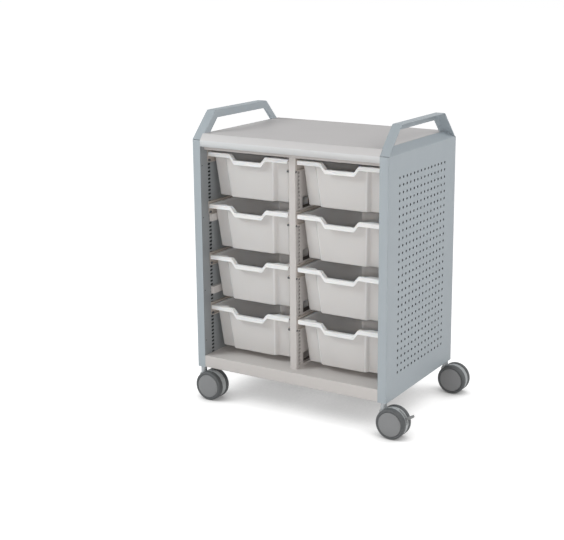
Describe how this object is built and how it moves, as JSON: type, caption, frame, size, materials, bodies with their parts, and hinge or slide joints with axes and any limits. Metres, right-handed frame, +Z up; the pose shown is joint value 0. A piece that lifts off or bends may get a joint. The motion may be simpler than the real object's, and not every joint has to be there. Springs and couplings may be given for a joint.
{
  "type": "classroom tray storage unit",
  "caption": "Wheeled steel cabinet with two columns of pull-out moulded trays on runners, perforated side panels, a flat worktop and a push handle along each side.",
  "frame": {"origin": "on the floor under the middle of the whole unit, casters and brake levers included", "axes": "+Z up, +Y from the open front to the back, +X to the viewer's right when facing the trays"},
  "size_m": [0.8148, 0.528, 0.9828],
  "materials": {
    "side_paint": "fine satin powder coat, blue-grey",
    "frame_paint": "fine satin powder coat, warm light grey",
    "worktop_paint": "fine matt powder coat, warm mid grey",
    "tray_plastic": "moulded, fine grain, pale grey",
    "runner_plastic": "extruded, beige-grey",
    "stem_steel": "zinc plated",
    "caster_plastic": "moulded, mid grey",
    "caster_tread": "soft tread on a moulded core, dark grey",
    "lever_plastic": "moulded, dark grey"
  },
  "bodies": {
    "cabinet": {"worktop": "worktop_paint", "header_rail": "frame_paint", "bottom_shelf": "frame_paint", "back_panel": "frame_paint", "centre_divider": "frame_paint", "left_side_panel": "side_paint", "left_handle": "side_paint", "left_lower_strap": "frame_paint", "left_upper_strap": "frame_paint", "front_left_upright": "side_paint", "rear_left_upright": "side_paint", "right_side_panel": "side_paint", "right_handle": "side_paint", "right_lower_strap": "frame_paint", "right_upper_strap": "frame_paint", "front_right_upright": "side_paint", "rear_right_upright": "side_paint", "left_outer_runner_1": "runner_plastic", "left_inner_runner_1": "runner_plastic", "left_outer_runner_2": "runner_plastic", "left_inner_runner_2": "runner_plastic", "left_outer_runner_3": "runner_plastic", "left_inner_runner_3": "runner_plastic", "left_outer_runner_4": "runner_plastic", "left_inner_runner_4": "runner_plastic", "right_outer_runner_1": "runner_plastic", "right_inner_runner_1": "runner_plastic", "right_outer_runner_2": "runner_plastic", "right_inner_runner_2": "runner_plastic", "right_outer_runner_3": "runner_plastic", "right_inner_runner_3": "runner_plastic", "right_outer_runner_4": "runner_plastic", "right_inner_runner_4": "runner_plastic", "front_left_caster_stem": "stem_steel", "front_right_caster_stem": "stem_steel", "rear_left_caster_stem": "stem_steel", "rear_right_caster_stem": "stem_steel"},
    "left_tray_1": {"left_tray_1": "tray_plastic"},
    "left_tray_2": {"left_tray_2": "tray_plastic"},
    "left_tray_3": {"left_tray_3": "tray_plastic"},
    "left_tray_4": {"left_tray_4": "tray_plastic"},
    "right_tray_1": {"right_tray_1": "tray_plastic"},
    "right_tray_2": {"right_tray_2": "tray_plastic"},
    "right_tray_3": {"right_tray_3": "tray_plastic"},
    "right_tray_4": {"right_tray_4": "tray_plastic"},
    "front_left_swivel": {"front_left_caster_hood": "caster_plastic"},
    "front_left_front_wheel": {"front_left_caster_front_wheel": "caster_tread"},
    "front_left_rear_wheel": {"front_left_caster_rear_wheel": "caster_tread"},
    "front_right_swivel": {"front_right_caster_hood": "caster_plastic"},
    "front_right_front_wheel": {"front_right_caster_front_wheel": "caster_tread"},
    "front_right_rear_wheel": {"front_right_caster_rear_wheel": "caster_tread"},
    "front_right_brake": {"front_right_brake_lever": "lever_plastic"},
    "rear_left_swivel": {"rear_left_caster_hood": "caster_plastic"},
    "rear_left_front_wheel": {"rear_left_caster_front_wheel": "caster_tread"},
    "rear_left_rear_wheel": {"rear_left_caster_rear_wheel": "caster_tread"},
    "rear_left_brake": {"rear_left_brake_lever": "lever_plastic"},
    "rear_right_swivel": {"rear_right_caster_hood": "caster_plastic"},
    "rear_right_front_wheel": {"rear_right_caster_front_wheel": "caster_tread"},
    "rear_right_rear_wheel": {"rear_right_caster_rear_wheel": "caster_tread"}
  },
  "joints": [
    {"name": "left_tray_1_slide", "type": "slide", "parent": "cabinet", "child": "left_tray_1", "axis": [0, -1, 0], "range_m": [0, 0.3]},
    {"name": "left_tray_2_slide", "type": "slide", "parent": "cabinet", "child": "left_tray_2", "axis": [0, -1, 0], "range_m": [0, 0.3]},
    {"name": "left_tray_3_slide", "type": "slide", "parent": "cabinet", "child": "left_tray_3", "axis": [0, -1, 0], "range_m": [0, 0.3]},
    {"name": "left_tray_4_slide", "type": "slide", "parent": "cabinet", "child": "left_tray_4", "axis": [0, -1, 0], "range_m": [0, 0.3]},
    {"name": "right_tray_1_slide", "type": "slide", "parent": "cabinet", "child": "right_tray_1", "axis": [0, -1, 0], "range_m": [0, 0.3]},
    {"name": "right_tray_2_slide", "type": "slide", "parent": "cabinet", "child": "right_tray_2", "axis": [0, -1, 0], "range_m": [0, 0.3]},
    {"name": "right_tray_3_slide", "type": "slide", "parent": "cabinet", "child": "right_tray_3", "axis": [0, -1, 0], "range_m": [0, 0.3]},
    {"name": "right_tray_4_slide", "type": "slide", "parent": "cabinet", "child": "right_tray_4", "axis": [0, -1, 0], "range_m": [0, 0.3]},
    {"name": "front_left_caster_swivel", "type": "hinge", "parent": "cabinet", "child": "front_left_swivel", "pos_m": [-0.39135, -0.233, 0.06], "axis": [0, 0, 1], "continuous": true},
    {"name": "front_left_front_wheel_roll", "type": "hinge", "parent": "front_left_swivel", "child": "front_left_front_wheel", "pos_m": [-0.35735, -0.253, 0.05], "axis": [0, 1, 0], "continuous": true},
    {"name": "front_left_rear_wheel_roll", "type": "hinge", "parent": "front_left_swivel", "child": "front_left_rear_wheel", "pos_m": [-0.35735, -0.213, 0.05], "axis": [0, 1, 0], "continuous": true},
    {"name": "front_right_caster_swivel", "type": "hinge", "parent": "cabinet", "child": "front_right_swivel", "pos_m": [0.30265, -0.233, 0.06], "axis": [0, 0, 1], "continuous": true},
    {"name": "front_right_front_wheel_roll", "type": "hinge", "parent": "front_right_swivel", "child": "front_right_front_wheel", "pos_m": [0.33665, -0.253, 0.05], "axis": [0, 1, 0], "continuous": true},
    {"name": "front_right_rear_wheel_roll", "type": "hinge", "parent": "front_right_swivel", "child": "front_right_rear_wheel", "pos_m": [0.33665, -0.213, 0.05], "axis": [0, 1, 0], "continuous": true},
    {"name": "front_right_brake_press", "type": "hinge", "parent": "front_right_swivel", "child": "front_right_brake", "pos_m": [0.36265, -0.233, 0.058], "axis": [0, 1, 0], "range_deg": [0, 15]},
    {"name": "rear_left_caster_swivel", "type": "hinge", "parent": "cabinet", "child": "rear_left_swivel", "pos_m": [-0.39135, 0.233, 0.06], "axis": [0, 0, 1], "continuous": true},
    {"name": "rear_left_front_wheel_roll", "type": "hinge", "parent": "rear_left_swivel", "child": "rear_left_front_wheel", "pos_m": [-0.35735, 0.213, 0.05], "axis": [0, 1, 0], "continuous": true},
    {"name": "rear_left_rear_wheel_roll", "type": "hinge", "parent": "rear_left_swivel", "child": "rear_left_rear_wheel", "pos_m": [-0.35735, 0.253, 0.05], "axis": [0, 1, 0], "continuous": true},
    {"name": "rear_left_brake_press", "type": "hinge", "parent": "rear_left_swivel", "child": "rear_left_brake", "pos_m": [-0.33135, 0.233, 0.058], "axis": [0, 1, 0], "range_deg": [0, 15]},
    {"name": "rear_right_caster_swivel", "type": "hinge", "parent": "cabinet", "child": "rear_right_swivel", "pos_m": [0.30265, 0.233, 0.06], "axis": [0, 0, 1], "continuous": true},
    {"name": "rear_right_front_wheel_roll", "type": "hinge", "parent": "rear_right_swivel", "child": "rear_right_front_wheel", "pos_m": [0.33665, 0.213, 0.05], "axis": [0, 1, 0], "continuous": true},
    {"name": "rear_right_rear_wheel_roll", "type": "hinge", "parent": "rear_right_swivel", "child": "rear_right_rear_wheel", "pos_m": [0.33665, 0.253, 0.05], "axis": [0, 1, 0], "continuous": true}
  ]
}
